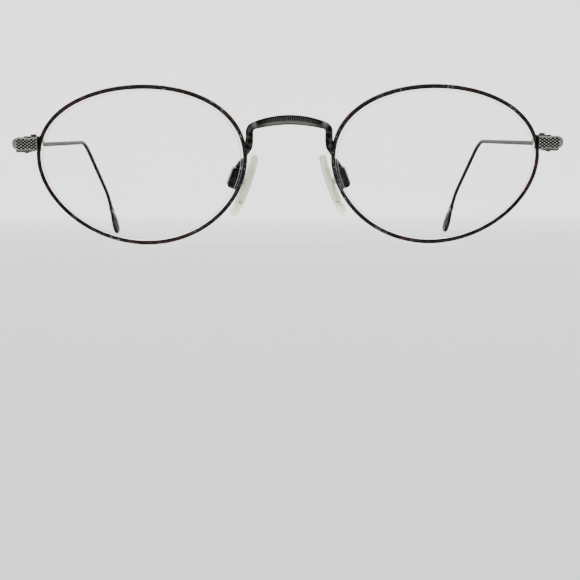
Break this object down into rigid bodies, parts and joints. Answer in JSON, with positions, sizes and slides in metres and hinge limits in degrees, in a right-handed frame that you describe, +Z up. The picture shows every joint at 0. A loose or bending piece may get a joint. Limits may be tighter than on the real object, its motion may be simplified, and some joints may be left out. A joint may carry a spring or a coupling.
{
  "type": "eyeglasses",
  "caption": "Oval full-rim wire eyeglasses with a saddle bridge, knurled end pieces, folding temples that curve behind the ears and rocking nose pads.",
  "frame": {"origin": "middle of the bounding box in X and Y, on the surface that the rims and the temple tips stand on", "axes": "+X towards the wearer's left (the viewer's right), lenses face -Y, open temples run back along +Y, +Z up"},
  "size_m": [0.1324, 0.1393, 0.0379],
  "materials": {
    "tortoise_enamel": "glossy dark brown tortoise enamel on metal",
    "dark_enamel": "dark plated",
    "antique_pewter": "antique pewter, dark in the recesses",
    "pewter_wire": "satin pewter",
    "steel_screw": "satin",
    "clear_lens": "polished clear",
    "clear_silicone": "translucent, slightly yellowed"
  },
  "bodies": {
    "front": {"bridge": "antique_pewter", "eyewire_left": "tortoise_enamel", "eyewire_right": "tortoise_enamel", "lens_left": "clear_lens", "lens_right": "clear_lens", "end_piece_left": "antique_pewter", "end_piece_right": "antique_pewter", "closing_block_upper_left": "dark_enamel", "closing_block_upper_right": "dark_enamel", "closing_block_lower_left": "dark_enamel", "closing_block_lower_right": "dark_enamel", "closing_screw_left": "steel_screw", "closing_screw_right": "steel_screw", "hinge_front_left": "antique_pewter", "hinge_front_right": "antique_pewter", "hinge_screw_left": "steel_screw", "hinge_screw_right": "steel_screw", "pad_arm_left": "dark_enamel", "pad_arm_right": "dark_enamel", "pad_box_left": "dark_enamel", "pad_box_right": "dark_enamel", "pad_screw_left": "steel_screw", "pad_screw_right": "steel_screw"},
    "temple_left": {"temple_hinge_left": "antique_pewter", "temple_wire_left": "pewter_wire", "temple_tip_left": "antique_pewter"},
    "pad_left": {"nose_pad_left": "clear_silicone", "pad_insert_left": "steel_screw"},
    "temple_right": {"temple_hinge_right": "antique_pewter", "temple_wire_right": "pewter_wire", "temple_tip_right": "antique_pewter"},
    "pad_right": {"nose_pad_right": "clear_silicone", "pad_insert_right": "steel_screw"}
  },
  "joints": [
    {"name": "temple_left_fold", "type": "hinge", "parent": "front", "child": "temple_left", "pos_m": [0.0635, -0.05854, 0.02416], "axis": [0, -0.0558, 0.9984], "range_deg": [0, 87]},
    {"name": "temple_right_fold", "type": "hinge", "parent": "front", "child": "temple_right", "pos_m": [-0.0635, -0.05854, 0.02416], "axis": [0, 0.0558, -0.9984], "range_deg": [0, 79]},
    {"name": "pad_left_rock", "type": "hinge", "parent": "front", "child": "pad_left", "pos_m": [0.01321, -0.05767, 0.01596], "axis": [0.0976, 0.9796, 0.1755], "range_deg": [-8, 8]},
    {"name": "pad_right_rock", "type": "hinge", "parent": "front", "child": "pad_right", "pos_m": [-0.01321, -0.05767, 0.01596], "axis": [0.0976, -0.9796, -0.1755], "range_deg": [-8, 8]}
  ]
}
